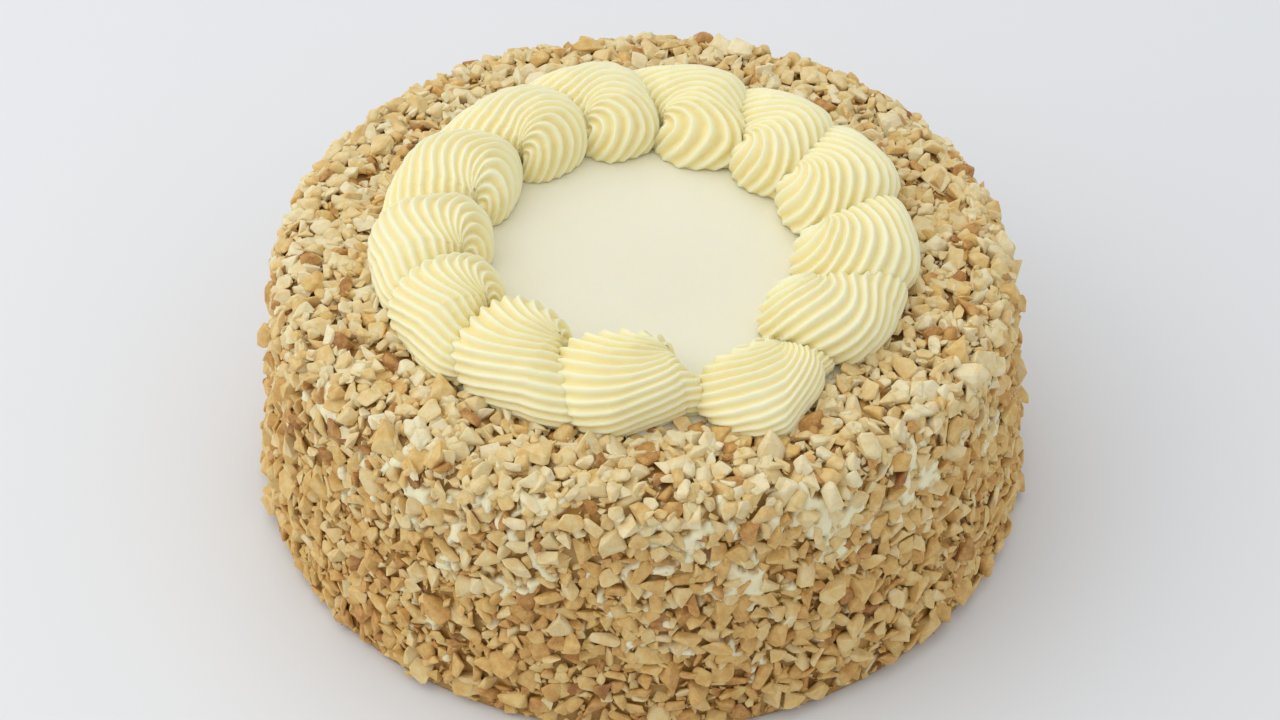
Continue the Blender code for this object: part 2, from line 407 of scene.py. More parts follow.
def mesh_object(name: str, points: np.ndarray, faces: list[tuple[int, ...]], shade: np.ndarray) -> Object:
    """Makes a closed, outward facing, smooth mesh object.

    Args:
        name: Name of the object.
        points: Its points in metres.
        faces: Its faces; open rims are filled.
        shade: Shade of the cream at each point.

    Returns:
        The object, linked to the scene.
    """
    mesh = bpy.data.meshes.new(name)
    mesh.from_pydata([tuple(map(float, point)) for point in points], [], faces)
    set_floats(mesh, "shade", shade)
    work = bmesh.new()
    work.from_mesh(mesh)
    rims = [edge for edge in work.edges if len(edge.link_faces) == 1]
    bmesh.ops.holes_fill(work, edges=rims, sides=0)
    bmesh.ops.triangulate(work, faces=[face for face in work.faces if len(face.verts) > 4])
    bmesh.ops.recalc_face_normals(work, faces=work.faces)
    if work.calc_volume(signed=True) < 0:
        bmesh.ops.reverse_faces(work, faces=work.faces)
    work.to_mesh(mesh)
    work.free()
    mesh.shade_smooth()
    return add_object(name, mesh)


def dress(item: Object, material: Material, nodes: tuple[str, ...] = ()) -> None:
    """Gives a piece its material and body, and hides the CAD nodes that it stands for.

    Args:
        item: The piece.
        material: Its finish.
        nodes: The CAD nodes it replaces.
    """
    item.data.materials.clear()
    item.data.materials.append(material)
    if nodes:
        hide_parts(*nodes)
    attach(item, "root")
    LOG.info("%s: %d faces", item.name, len(item.data.polygons))


def look_up(table: Table, where: np.ndarray | float) -> np.ndarray:
    """Reads a table of places and values, straight between its rows."""
    return np.interp(where, *zip(*table))


def noise_at(points: np.ndarray, size: float, seed: float) -> np.ndarray:
    """Smooth noise from about -1 to 1 at points, with features of a size in millimetres; a seed shifts it."""
    shift = Vector((seed, seed * 1.7, -seed))
    return np.array([noise.noise(Vector(point) / size + shift) for point in points])


# Border of piped cream


@dataclass(frozen=True)
class PipedSwirl:
    """One piped swirl.

    Lengths are in millimetres and angles in degrees. The swirl is shaped in a frame whose x runs clockwise
    round the ring, y outward from its centre and z up from the cream. Its ridges start on the cream round the
    head, rise over it and turn counter-clockwise round the turn centre.

    Attributes:
        turn: Place of the turn centre.
        tail, head, waist, hook, droop: Factors for its reach or height over the arcs with their names.
        skew: Below 1, its crest lies further out.
        gather: Draws the ends of the ridges towards the turn centre.
        reach, crown: Distance of its foot and height of its crest, by angle.
        widest: Height of its widest line, as a share of the crest's.
        crowding, bunching: Crowd the ridges at the turn centre, and their starts at the inner end.
        lead, climb, bend: How late a ridge turns, where its climb ends and how quickly it climbs at first.
        sharpness, deepening, tuck: Narrowness and depth of the grooves, and what is left of it at the foot.
        waves, sway: Sizes and heights of the uneven surface and of the sideways sway.
    """

    number: int
    angle: float
    ridges: int = 18
    ridge_steps: int = 10
    rows: int = 110
    turn: tuple[float, float] = (-2.6, 48.3)
    stretch: float = 1.0
    tail: float = 1.0
    rise: float = 1.0
    hook: float = 1.0
    head: float = 1.0
    waist: float = 1.0
    skew: float = 1.0
    droop: float = 1.0
    gather: float = 0.0
    tail_arc: Arc = (62.0, 102.0)
    head_arc: Arc = (-60.0, -30.0, 45.0, 65.0)
    waist_arc: Arc = (-110.0, -80.0, -48.0, -20.0)
    hook_arc: Arc = (-100.0, -60.0, -30.0, 5.0)
    droop_arc: Arc = (20.0, 90.0)
    start_arc: Arc = (-160.0, 82.0)
    end_turn: float = 178.0
    reach: Table = (
        (-160, 2.2), (-140, 2.8), (-120, 3.7), (-105, 4.6), (-90, 5.8), (-75, 7.3), (-60, 9.2), (-48, 11.2),
        (-36, 14.0), (-20, 18.0), (-6, 21.0), (9, 22.8), (23, 24.4), (37, 26.0), (49, 26.4), (61, 25.4),
        (75, 23.8), (90, 22.8), (105, 23.2), (118, 23.8), (128, 23.0), (138, 20.0), (150, 15.5), (164, 11.5),
        (178, 9.0),
    )
    crown: Table = (
        (-160, 1.6), (-140, 2.6), (-120, 4.2), (-105, 6.0), (-90, 7.6), (-75, 9.0), (-60, 10.2), (-48, 11.2),
        (-36, 12.5), (-20, 14.4), (0, 16.0), (30, 16.6), (60, 15.8), (90, 14.8), (105, 13.4), (118, 11.4),
        (128, 9.2), (138, 6.8), (150, 4.2), (164, 2.0), (178, 0.8),
    )
    pit: float = 0.7
    least: float = 0.25
    widest: float = 0.34
    crowding: float = 0.3
    bunching: float = 1.25
    lead: float = 1.2
    climb: float = 0.62
    bend: float = 1.8
    sink: float = 0.5
    depth_share: float = 0.34
    depth_limit: float = 1.75
    unevenness: tuple[float, float] = (0.8, 1.15)
    sharpness: Table = ((0.0, 1.5), (0.4, 1.7), (1.0, 2.2))
    deepening: Table = ((0.0, 1.35), (0.4, 1.3), (0.6, 1.0))
    tuck: Table = ((0.0, 0.4), (0.5, 0.45), (0.7, 1.0), (1.0, 1.0))
    tuck_height: float = 4.0
    waves: Table = ((7.0, 0.35), (2.6, 0.1))
    sway: tuple[float, float] = (15.0, 1.1)
    # Power on the groove depth that gives the painted shade in the grooves.
    groove_shade_power: float = 1.2

    def starts(self, across: np.ndarray) -> np.ndarray:
        """Angles round the turn at which the ridges start, spread along the foot.

        Args:
            across: Shares from 0 by the turn to 1 at the outer end.

        Returns:
            Angles in degrees.
        """
        turns = np.linspace(*self.start_arc, 300)
        reach = look_up(self.reach, turns)
        step = np.hypot(np.diff(reach), reach[1:] * np.radians(np.diff(turns)))
        run = np.concatenate([[0.0], np.cumsum(step)])
        return np.interp(across**self.bunching, run / run[-1], turns)

    def foot(self, turn: np.ndarray) -> np.ndarray:
        """Distance of the swirl's foot from the turn centre.

        Args:
            turn: Angles round the turn centre, in degrees.

        Returns:
            Distances.
        """
        reach = look_up(self.reach, turn) * np.interp(turn, self.tail_arc, [1.0, self.tail])
        arcs = (self.head_arc, self.waist_arc, self.hook_arc)
        for arc, factor in zip(arcs, (self.head, self.waist, self.hook)):
            reach = reach * np.interp(turn, arc, [1.0, factor, factor, 1.0])
        return reach

    def arch(self, share: np.ndarray, turn: np.ndarray) -> tuple[np.ndarray, np.ndarray]:
        """Points of upright sections through the turn centre.

        Args:
            share: Shares across each section, 0 by the turn and 1 outside.
            turn: Angle of each section round the turn centre, in degrees.

        Returns:
            Distances from the turn centre and heights.
        """
        crown = look_up(self.crown, turn) * self.rise * np.interp(turn, self.droop_arc, [1.0, self.droop])
        middle = self.widest * crown
        rise = crown - middle
        low = np.arcsin(-middle / rise)
        gamma = (math.pi - low) + (2 * low - math.pi) * share
        half = (self.foot(turn) - self.pit) / 2
        away = self.pit + half + half / np.cos(low) * np.cos(gamma)
        whole = 2 * half
        away = self.pit + whole * (np.maximum(away - self.pit, 0.0) / whole) ** self.skew
        return np.maximum(away, self.least), np.maximum(middle + rise * np.sin(gamma), 0.0)

    def smooth_sheet(self, across: np.ndarray) -> np.ndarray:
        """The swirl without its ridges.

        Args:
            across: Shares across the ridges.

        Returns:
            Points, by share across and row along.
        """
        first = self.starts(across)[:, None]
        along = np.linspace(0.0, 1.0, self.rows)[None, :]
        turn = first + (self.end_turn - first) * along**self.lead
        home = ((1 - self.crowding) * across + self.crowding * across**2)[:, None]
        share = home + (1.0 - home) * np.clip(1.0 - along / self.climb, 0.0, 1.0) ** self.bend
        late = np.clip((along - 0.5) / 0.5, 0.0, 1.0)
        share = share ** (1.0 + self.gather * late * late * (3.0 - 2.0 * late))
        away, height = self.arch(share, turn)
        angle = np.radians(turn)
        aside = away * np.cos(angle)
        aside = np.where(aside > 0.0, aside * self.stretch, aside)
        return np.stack([self.turn[0] + aside, self.turn[1] + away * np.sin(angle), height], axis=-1)

    def facing(self, points: np.ndarray) -> tuple[np.ndarray, np.ndarray]:
        """Outward directions of the smooth sheet and widths of the ridges on it.

        Args:
            points: Points of the sheet.

        Returns:
            Directions and widths, one for each point.
        """
        by_across = np.gradient(points, axis=0)
        by_along = np.gradient(points, axis=1)
        normal = np.cross(by_across, by_along)
        normal /= np.maximum(np.linalg.norm(normal, axis=2), 1e-9)[..., None]
        inside = np.array([9.0, 55.0, 4.0])
        if np.sum(normal * (points - inside)) < 0:
            normal = -normal
        tangent = by_along / np.maximum(np.linalg.norm(by_along, axis=2), 1e-9)[..., None]
        sideways = by_across - np.sum(by_across * tangent, axis=2)[..., None] * tangent
        return normal, np.linalg.norm(sideways, axis=2) * self.ridge_steps

    def sheet(self) -> tuple[np.ndarray, np.ndarray]:
        """The swirl with its ridges.

        Returns:
            Points by share across and row along, and how deep in a groove each lies, from 0 to 1; the wall
            into the pit gets 1 to 2, painted shade.
        """
        rng = np.random.default_rng(100 + self.number)
        across = np.linspace(0.0, 1.0, self.ridges * self.ridge_steps + 1)
        points = self.smooth_sheet(across)
        normal, width = self.facing(points)
        phase = across * self.ridges
        valley = np.abs(np.sin(math.pi * phase)) ** look_up(self.sharpness, across)
        draws = rng.uniform(*self.unevenness, self.ridges + 1)
        strength = np.interp(phase, np.arange(self.ridges + 1), draws)
        depth = np.minimum(width * self.depth_share, self.depth_limit) * strength[:, None]
        depth = depth * look_up(self.deepening, across)[:, None]
        groove = valley[:, None] * np.ones_like(depth)
        tuck = look_up(self.tuck, across)[:, None]
        depth = depth * (tuck + (1.0 - tuck) * np.clip(points[..., 2] / self.tuck_height, 0.0, 1.0))
        points = points - normal * (depth * groove)[..., None]
        flat = points.reshape(-1, 3)
        (coarse, coarse_height), (fine, fine_height) = self.waves
        wobble = noise_at(flat, coarse, self.number * 3.1) * coarse_height
        wobble = wobble + noise_at(flat, fine, self.number * 5.3) * fine_height
        points = points + normal * wobble.reshape(depth.shape)[..., None]
        size, width = self.sway
        sway = np.stack([noise_at(flat, size, self.number * 2.3 + axis * 9.0) for axis in range(2)], axis=-1)
        points[..., :2] += sway.reshape(*depth.shape, 2) * width
        points[..., 2] = np.maximum(points[..., 2], 0.0)
        # The wall down into the pit by the turn centre gets groove values from 1 to 2: painted shade in the
        # pit.
        wall = points[:1].copy()
        wall[..., 2] = 0.0
        return np.concatenate([wall, points]), np.concatenate([groove[:1] + 1.0, groove])

    def place(self, points: np.ndarray) -> np.ndarray:
        """Moves points from the swirl's own frame onto the cake.

        Args:
            points: Points in millimetres.

        Returns:
            Points in metres.
        """
        angle = math.radians(self.angle)
        out = np.array([math.cos(angle), math.sin(angle), 0.0])
        clockwise = np.array([math.sin(angle), -math.cos(angle), 0.0])
        flat = points.reshape(-1, 3)
        moved = flat[:, :1] * clockwise + flat[:, 1:2] * out
        moved += np.array([*RING_CENTRE, CREAM_LEVEL - self.sink])
        moved[:, 2] += flat[:, 2]
        return moved * MM

    def build(self, material: Material) -> Object:
        """Builds and dresses the swirl.

        Args:
            material: Finish of the piped cream.

        Returns:
            The piece.
        """
        points, groove = self.sheet()
        rows, columns = points.shape[:2]
        points[..., 2] += np.where(points[..., 2] > 0.01, self.sink, 0.0)
        world = self.place(points)
        tip = world.reshape(rows, columns, 3)[:, -1].mean(axis=0)
        tip[2] = (CREAM_LEVEL - self.sink) * MM
        tip_shade = 0.5
        faces = grid_faces(rows, columns)
        world = np.vstack([world, tip])
        ends = [(row + 1) * columns - 1 for row in range(rows)]
        faces += [(here, after, len(world) - 1) for here, after in zip(ends, ends[1:])]
        # Painted shade: the groove depth mixes in the deep colour; the tip gets half of it.
        shade = np.append(groove.ravel(), tip_shade) ** self.groove_shade_power
        item = mesh_object(f"piped_swirl_{self.number:02d}", world, faces, shade)
        dress(item, material, (f"swirl_{self.number:02d}",))
        return item


# Smooth disc


@dataclass(frozen=True)
class SmoothDisc:
    """The smooth disc of cream inside the border; lengths in millimetres.

    Attributes:
        margin: Radius of the innermost ring, and distance of the flat top from the edge.
        edge: Points of the rounded edge, inward and down from the sharp one.
        sweep: Height of the waves that the spatula left.
        squeeze: Factor that draws the coarse waves out.
    """

    radius: float = 72.4
    thickness: float = 3.0
    margin: float = 0.6
    edge: Table = ((0.2, 0.2), (0.0, 0.7))
    rings: int = 72
    sides: int = 240
    sweep: float = 0.16
    squeeze: float = 0.35

    def build(self, material: Material) -> Object:
        """Builds and dresses the disc.

        Args:
            material: Finish of the smooth cream.

        Returns:
            The piece.
        """
        low = CREAM_LEVEL - self.thickness
        profile = [(r, CREAM_LEVEL) for r in np.linspace(self.margin, self.radius - self.margin, self.rings)]
        profile += [(self.radius - inward, CREAM_LEVEL - down) for inward, down in self.edge]
        profile += [(self.radius, low), (self.radius - 1, low)]
        turns = np.linspace(0.0, 2 * math.pi, self.sides, endpoint=False)
        points = np.array([(r * math.cos(t), r * math.sin(t), z) for r, z in profile for t in turns])
        top = (points[:, 2] > CREAM_LEVEL - 0.05) & (np.hypot(points[:, 0], points[:, 1]) < self.radius - 1.5)
        swept = points * np.array([1.0, self.squeeze, 1.0])
        lift = noise_at(swept, 24.0, 4.0) * self.sweep + noise_at(points, 9.0, 8.0) * self.sweep * 0.35
        points[:, 2] += np.where(top, lift - self.sweep, 0.0)
        shade = 0.5 + 0.5 * noise_at(points, 30.0, 2.0)
        faces = grid_faces(len(profile), self.sides, closed=True)
        item = mesh_object("smooth_cream_disc", points * MM, faces, shade)
        dress(item, material, ("cream_top",))
        return item


# Coat of cream


@dataclass(frozen=True)
class CoatLine:
    """Upright half section of the coat, from the foot over the rim to the middle; lengths in millimetres."""

    side: Table = (
        (105.4, 0.0), (105.6, 1.5), (105.3, 6.0), (104.6, 14.0), (103.4, 27.0), (101.9, 42.0), (100.5, 55.0),
        (99.3, 65.0),
    )
    rim_radius: float = 9.3
    rim_steps: int = 13
    level: float = 74.4
    inner_radius: float = 68.0

    def points(self, step: float) -> np.ndarray:
        """Evenly spaced points of the line.

        Args:
            step: Distance between points.

        Returns:
            Radii and heights.
        """
        radius, height = self.side[-1]
        bend = self.rim_radius
        turns = np.radians(np.linspace(0.0, 90.0, self.rim_steps))
        rim = [(radius - bend * (1 - math.cos(t)), height + bend * math.sin(t)) for t in turns[1:]]
        raw = np.array([*self.side, *rim, (self.inner_radius, self.level)])
        run = np.concatenate([[0.0], np.cumsum(np.hypot(*np.diff(raw, axis=0).T))])
        even = np.linspace(0.0, run[-1], int(run[-1] / step) + 1)
        return np.column_stack([np.interp(even, run, raw[:, 0]), np.interp(even, run, raw[:, 1])])

    def outward(self, line: np.ndarray) -> np.ndarray:
        """Outward directions in the half section.

        Args:
            line: Points of the line.

        Returns:
            One direction for each point.
        """
        slope = np.gradient(line, axis=0)
        out = np.column_stack([slope[:, 1], -slope[:, 0]])
        return out / np.linalg.norm(out, axis=1)[:, None]


@dataclass(frozen=True)
class CreamCoat:
    """The cream that carries the nuts; lengths in millimetres.

    Attributes:
        bands: How much more cream lies over the nuts, by height.
        front, amount: How much more of it lies there in front, and in all.
        edge, thickness: Sharpness and mean thickness of a smear.
        tucked: Width and depth of the hidden inner edge.
    """

    line: CoatLine = field(default_factory=CoatLine)
    step: float = 0.95
    columns: int = 690
    bands: Table = ((8, -0.5), (28, -0.34), (45, -0.14), (57, -0.01), (68, 0.0), (73, -0.2), (75, -0.6))
    front: float = 0.12
    amount: float = -0.07
    edge: float = 4.0
    thickness: float = 1.9
    foot_height: float = 3.0
    tucked: tuple[float, float] = (3.0, 0.8)

    def smear(self, points: np.ndarray) -> np.ndarray:
        """How much cream lies over the nuts, from 0 to 1.

        Args:
            points: Points in millimetres.

        Returns:
            One value for each point.
        """
        patches = noise_at(points, 17.0, 11.0) * 0.5 + 0.5 * noise_at(points, 6.0, 23.0)
        patches = patches + 0.45 * noise_at(points, 2.6, 29.0)
        front = np.clip(-points[:, 1] / 100.0, -1.0, 1.0) * self.front
        cover = patches + look_up(self.bands, points[:, 2]) + front + self.amount
        return np.clip(cover * self.edge, 0.0, 1.0)

    def build(self, material: Material) -> Object:
        """Builds and dresses the coat.

        Args:
            material: Finish of the coat's cream.

        Returns:
            The piece.
        """
        line = self.line.points(self.step)
        out = self.line.outward(line)
        turns = np.linspace(0.0, 2 * math.pi, self.columns, endpoint=False)
        ring = np.column_stack([np.cos(turns), np.sin(turns)])
        base = np.concatenate([np.column_stack([ring * r, np.full(self.columns, z)]) for r, z in line])
        push = np.concatenate([np.column_stack([ring * dr, np.full(self.columns, dz)]) for dr, dz in out])
        smear = self.smear(base)
        rough = noise_at(base, 11.0, 31.0) * 0.5 + noise_at(base, 3.0, 37.0) * 0.4 - 0.5
        thick = self.thickness + 0.9 * noise_at(base, 3.6, 41.0) + 0.5 * noise_at(base, 1.8, 43.0)
        foot = np.clip(base[:, 2] / self.foot_height, 0.0, 1.0)
        points = base + push * ((rough + smear * thick) * foot)[:, None]
        width, drop = self.tucked
        inner = np.hypot(base[:, 0], base[:, 1]) < self.line.inner_radius + width
        points[inner] = base[inner] - np.array([0.0, 0.0, drop])
        points[:, 2] = np.maximum(points[:, 2], 0.0)
        faces = grid_faces(len(line), self.columns, closed=True)
        # Where no smear lies, the coat takes the deep colour: crumbs and painted shadow in the gaps between
        # the nuts.
        item = mesh_object("cream_coat", points * MM, faces, 1.0 - smear)
        dress(item, material, ("cake",))
        return item


# Chopped nuts


@dataclass(frozen=True)
class NutShapes:
    """Small set of chopped nut shapes, one unit across.

    Attributes:
        corners: Points from which each is cut.
        bevel: Width of the broken edges.
        taper: How much one end may be wider than the other.
        merge: Angle in degrees up to which neighbouring faces become one.
    """

    count: int
    corners: int
    flatness: tuple[float, float]
    bevel: float
    seed: int
    width: tuple[float, float] = (0.6, 0.95)
    taper: float = 0.45
    merge: float = 16.0

    def shape(self, rng: np.random.Generator, name: str) -> Object:
        """Cuts one shape.

        Args:
            rng: Random source.
            name: Name of the shape.

        Returns:
            The shape, not linked to the scene.
        """
        mesh = bpy.data.meshes.new(name)
        work = bmesh.new()
        size = np.array([1.0, rng.uniform(*self.width), rng.uniform(*self.flatness)]) / 2
        taper = rng.uniform(-self.taper, self.taper, 2)
        for _ in range(self.corners):
            spot = rng.normal(size=3)
            spot /= np.abs(spot).max() ** 0.55 * np.linalg.norm(spot) ** 0.45
            spot *= size * rng.uniform(0.85, 1.08)
            spot[1] *= 1 + taper[0] * spot[0] * 2
            spot[2] *= 1 + taper[1] * spot[0] * 2
            work.verts.new(tuple(spot))
        bmesh.ops.convex_hull(work, input=work.verts)
        bmesh.ops.delete(work, geom=[vert for vert in work.verts if not vert.link_faces], context="VERTS")
        angle = math.radians(self.merge)
        bmesh.ops.dissolve_limit(work, angle_limit=angle, verts=work.verts, edges=work.edges)
        if self.bevel:
            settings = {"segments": 1, "affect": "EDGES", "profile": 0.5, "clamp_overlap": True}
            bmesh.ops.bevel(work, geom=work.edges[:], offset=self.bevel, **settings)
        bmesh.ops.triangulate(work, faces=work.faces)
        bmesh.ops.recalc_face_normals(work, faces=work.faces)
        work.to_mesh(mesh)
        work.free()
        return bpy.data.objects.new(name, mesh)

    def build(self, name: str) -> bpy.types.Collection:
        """Builds the shapes.

        Args:
            name: Name of the collection.

        Returns:
            A collection with the shapes, not linked to the scene.
        """
        rng = np.random.default_rng(self.seed)
        shelf = bpy.data.collections.new(name)
        for index in range(self.count):
            shelf.objects.link(self.shape(rng, f"{name}_{index}"))
        return shelf


NUT_SHAPES = {
    NutKind.CHIP_TOP: NutShapes(16, 11, (0.5, 0.85), 0.055, 21),
    NutKind.CHIP_SIDE: NutShapes(16, 11, (0.45, 0.75), 0.055, 22),
    NutKind.CHIP_FOOT: NutShapes(16, 11, (0.42, 0.7), 0.055, 23),
    NutKind.BIT: NutShapes(10, 9, (0.5, 0.85), 0.0, 24),
    NutKind.CRUMB: NutShapes(8, 8, (0.55, 0.9), 0.0, 25),
}


@dataclass
class Spots:
    """Places of nuts: point, outward direction, size, tilt and tone of each."""

    places: list[np.ndarray] = field(default_factory=list)
    outward: list[np.ndarray] = field(default_factory=list)
    sizes: list[float] = field(default_factory=list)
    tilts: list[float] = field(default_factory=list)
    tones_with_painted_light: list[float] = field(default_factory=list)

    def add(self, place: np.ndarray, outward: np.ndarray, size: float, tilt: float, tone: float) -> None:
        """Adds one nut.

        Args:
            place: Its middle, in millimetres.
            outward: Direction away from the cake.
            size: Its size, in millimetres.
            tilt: Its lean, in radians.
            tone: Its tone, from 0 for white to 1 for brown.
        """
        self.places.append(place)
        self.outward.append(outward)
        self.sizes.append(size)
        self.tilts.append(tilt)
        self.tones_with_painted_light.append(tone)

    def mesh(self, name: str) -> Object:
        """The spots as a mesh of loose points with attributes.

        Args:
            name: Name of the object.

        Returns:
            The object, linked to the scene.
        """
        mesh = bpy.data.meshes.new(name)
        mesh.from_pydata([tuple(place * MM) for place in self.places], [], [])
        vectors = mesh.attributes.new("outward", "FLOAT_VECTOR", "POINT")
        vectors.data.foreach_set("vector", np.array(self.outward, np.float32).ravel())
        set_floats(mesh, "size", np.array(self.sizes) * MM)
        set_floats(mesh, "tilt", self.tilts)
        set_floats(mesh, "tone", self.tones_with_painted_light)
        return add_object(name, mesh)


@dataclass
class Packing:
    """Nuts that lie on the cake, sorted into cells so that near ones are found fast.

    The closeness is the least distance of two nuts, as a share of their mean size.
    """

    closeness: float = 0.48
    cell: float = 6.0
    lying: dict[tuple[int, ...], list[tuple[np.ndarray, float]]] = field(default_factory=dict)

    def key(self, place: np.ndarray) -> tuple[int, ...]:
        """The cell of a place."""
        return tuple((place // self.cell).astype(int))

    def has_room(self, place: np.ndarray, size: float) -> bool:
        """Tells whether a nut fits between those that lie.

        Args:
            place: Its middle, in millimetres.
            size: Its size.

        Returns:
            True if none lies too close.
        """
        key = self.key(place)
        for dx, dy, dz in product((-1, 0, 1), repeat=3):
            for spot, reach in self.lying.get((key[0] + dx, key[1] + dy, key[2] + dz), ()):
                gap = self.closeness * (reach + size) / 2
                away = (spot[0] - place[0]) ** 2 + (spot[1] - place[1]) ** 2 + (spot[2] - place[2]) ** 2
                if away < gap * gap:
                    return False
        return True

    def add(self, place: np.ndarray, size: float) -> None:
        """Notes a nut that now lies."""
        self.lying.setdefault(self.key(place), []).append((place, size))


class ScatterTree(Sketch):
    """Geometry nodes that put a shape from a collection on every spot, turned outward and at random."""

    WIDTH = (0.85, 1.12)
    THICKNESS = (0.8, 1.2)
    INPUTS = {
        "Geometry": "NodeSocketGeometry",
        "Shapes": "NodeSocketCollection",
        "Shape Count": "NodeSocketInt",
        "Seed": "NodeSocketInt",
        "Finish": "NodeSocketMaterial",
    }

    def __init__(self, name: str) -> None:
        """Makes the node group with its named inputs and its output.

        Args:
            name: Name of the group.
        """
        super().__init__(bpy.data.node_groups.new(name, "GeometryNodeTree"))
        for label, kind in self.INPUTS.items():
            self.tree.interface.new_socket(label, in_out="INPUT", socket_type=kind)
        self.tree.interface.new_socket("Geometry", in_out="OUTPUT", socket_type="NodeSocketGeometry")
        self.start = self.tree.nodes.new("NodeGroupInput").outputs

    def named(self, label: str, kind: str = "FLOAT") -> Socket:
        """Reads an attribute of the spots."""
        node = self.add("GeometryNodeInputNamedAttribute", {"Name": label}, data_type=kind)
        return node.outputs["Attribute"]

    def chance(self, low: float, high: float, offset: int) -> Socket:
        """Draws a number for each spot, with an offset to the seed."""
        inputs = {2: low, 3: high, "Seed": self.maths("ADD", self.start["Seed"], float(offset))}
        return self.add("FunctionNodeRandomValue", inputs, data_type="FLOAT").outputs[1]

    def rotation(self) -> Socket:
        """Turns each shape outward, spins it and tilts it.

        Returns:
            The rotation.
        """
        outward = {"Vector": self.named("outward", "FLOAT_VECTOR")}
        turned = self.add("FunctionNodeAlignRotationToVector", outward, axis="Z").outputs["Rotation"]
        spin = {"Z": self.chance(0.0, 2 * math.pi, 1)}
        lean = {"X": self.named("tilt"), "Z": self.chance(0.0, 2 * math.pi, 2)}
        for angles in (spin, lean):
            euler = {"Euler": self.add("ShaderNodeCombineXYZ", angles).outputs[0]}
            turn = self.add("FunctionNodeEulerToRotation", euler).outputs[0]
            both = {"Rotation": turned, "Rotate By": turn}
            turned = self.add("FunctionNodeRotateRotation", both, rotation_space="LOCAL").outputs[0]
        return turned

    def scale(self) -> Socket:
        """Sizes each shape, a little wider or thicker than the next.

        Returns:
            The scale.
        """
        size = self.named("size")
        wide = self.maths("MULTIPLY", self.chance(*self.WIDTH, 3), size)
        deep = self.maths("MULTIPLY", self.chance(*self.THICKNESS, 4), size)
        return self.add("ShaderNodeCombineXYZ", {"X": size, "Y": wide, "Z": deep}).outputs[0]

    def build(self) -> Tree:
        """Builds the nodes.

        Returns:
            The group.
        """
        shelf = {"Collection": self.start["Shapes"], "Separate Children": True, "Reset Children": True}
        pick = {4: 0, 5: self.start["Shape Count"], "Seed": self.start["Seed"]}
        put = {
            "Points": self.start["Geometry"],
            "Instance": self.add("GeometryNodeCollectionInfo", shelf).outputs[0],
            "Pick Instance": True,
            "Instance Index": self.add("FunctionNodeRandomValue", pick, data_type="INT").outputs[2],
            "Rotation": self.rotation(),
            "Scale": self.scale(),
        }
        instances = self.add("GeometryNodeInstanceOnPoints", put).outputs["Instances"]
        real = self.add("GeometryNodeRealizeInstances", {"Geometry": instances}).outputs["Geometry"]
        faceted = self.add("GeometryNodeSetShadeSmooth", {"Geometry": real, "Shade Smooth": False}).outputs[0]
        painted = self.add("GeometryNodeSetMaterial", {"Geometry": faceted, "Material": self.start["Finish"]})
        self.link(painted.outputs["Geometry"], self.tree.nodes.new("NodeGroupOutput").inputs["Geometry"])
        return self.tree


